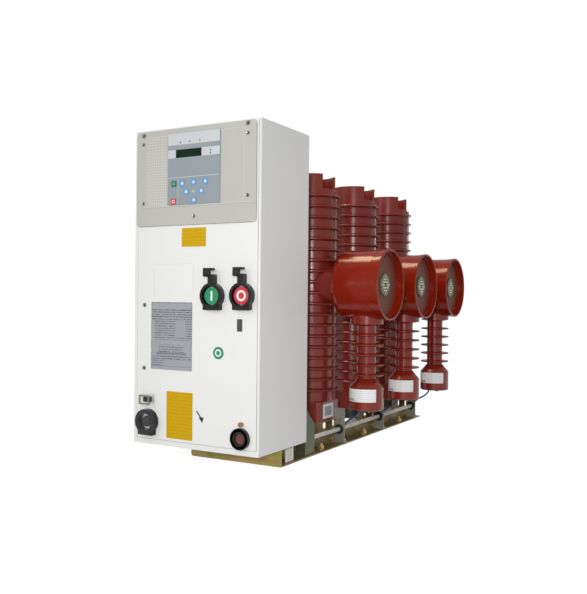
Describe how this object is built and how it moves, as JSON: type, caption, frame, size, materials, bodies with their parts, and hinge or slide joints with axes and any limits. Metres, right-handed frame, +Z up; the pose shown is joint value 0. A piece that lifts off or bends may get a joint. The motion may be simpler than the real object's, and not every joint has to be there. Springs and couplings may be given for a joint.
{
  "type": "medium-voltage circuit breaker",
  "caption": "Fixed indoor medium-voltage circuit breaker: ribbed red resin poles with cable bells and post insulators on a steel base, worked from a white front housing.",
  "frame": {"origin": "centre of the four base fixing holes, on the plane the base stands on", "axes": "+Z up, -Y out of the front with the push-buttons, +X towards the cable bells"},
  "size_m": [0.4251, 0.9288, 0.6795],
  "materials": {
    "white_paint": "satin powder coat",
    "grey_fascia": "satin",
    "relay_foil": "satin foil",
    "display_green": "gloss",
    "key_foil": "satin foil",
    "black_plastic": "semi-gloss",
    "green_cap": "gloss",
    "red_cap": "gloss",
    "plate_foil": "satin",
    "label_yellow": "satin",
    "clear_plastic": "clear",
    "bright_steel": "satin",
    "brass_knob": "satin",
    "yellow_zinc": "iridescent yellow passivation",
    "olive_zinc": "olive passivation",
    "grey_zinc": "grey zinc",
    "pole_epoxy": "gloss cast resin",
    "bell_epoxy": "gloss cast resin",
    "contact_metal": "silver-plated",
    "black_rubber": "matt",
    "conduit_grey": "matt",
    "cable_blue": "satin",
    "bolt_zinc": "yellow passivation"
  },
  "bodies": {
    "breaker": {"housing_shell": "white_paint", "front_cover": "white_paint", "fascia_panel": "grey_fascia", "relay_frame": "relay_foil", "relay_display": "display_green", "relay_keys": "key_foil", "close_guard": "black_plastic", "open_guard": "black_plastic", "operation_counter": "black_plastic", "state_indicator": "green_cap", "rating_plate": "plate_foil", "instruction_labels": "label_yellow", "lock_guard": "black_plastic", "lock_cover": "clear_plastic", "lock_cylinder": "bright_steel", "charging_socket": "black_plastic", "socket_knob": "brass_knob", "cover_screws": "bright_steel", "base_rails": "yellow_zinc", "base_front_plate": "yellow_zinc", "base_rear_plate": "yellow_zinc", "housing_gussets": "olive_zinc", "pole_1": "pole_epoxy", "pole_2": "pole_epoxy", "pole_3": "pole_epoxy", "head_contact_1": "contact_metal", "head_contact_2": "contact_metal", "head_contact_3": "contact_metal", "bell_1": "bell_epoxy", "bell_2": "bell_epoxy", "bell_3": "bell_epoxy", "bell_contact_1": "contact_metal", "bell_contact_2": "contact_metal", "bell_contact_3": "contact_metal", "post_insulator_1": "bell_epoxy", "post_insulator_2": "bell_epoxy", "post_insulator_3": "bell_epoxy", "pole_bracket_1": "yellow_zinc", "pole_bracket_2": "yellow_zinc", "pole_bracket_3": "yellow_zinc", "cable_plates": "grey_zinc", "cable_grommets": "black_rubber", "wiring_conduit": "conduit_grey", "sensor_cables": "cable_blue", "rail_bolts": "bolt_zinc", "wiring_sleeves": "conduit_grey"},
    "close_button": {"close_button": "green_cap"},
    "open_button": {"open_button": "red_cap"}
  },
  "joints": [
    {"name": "close_button_press", "type": "slide", "parent": "breaker", "child": "close_button", "axis": [0, 1, 0], "range_m": [0, 0.004], "stiffness_N_per_m": 800, "springref_m": -0.002},
    {"name": "open_button_press", "type": "slide", "parent": "breaker", "child": "open_button", "axis": [0, 1, 0], "range_m": [0, 0.004], "stiffness_N_per_m": 800, "springref_m": -0.002}
  ]
}
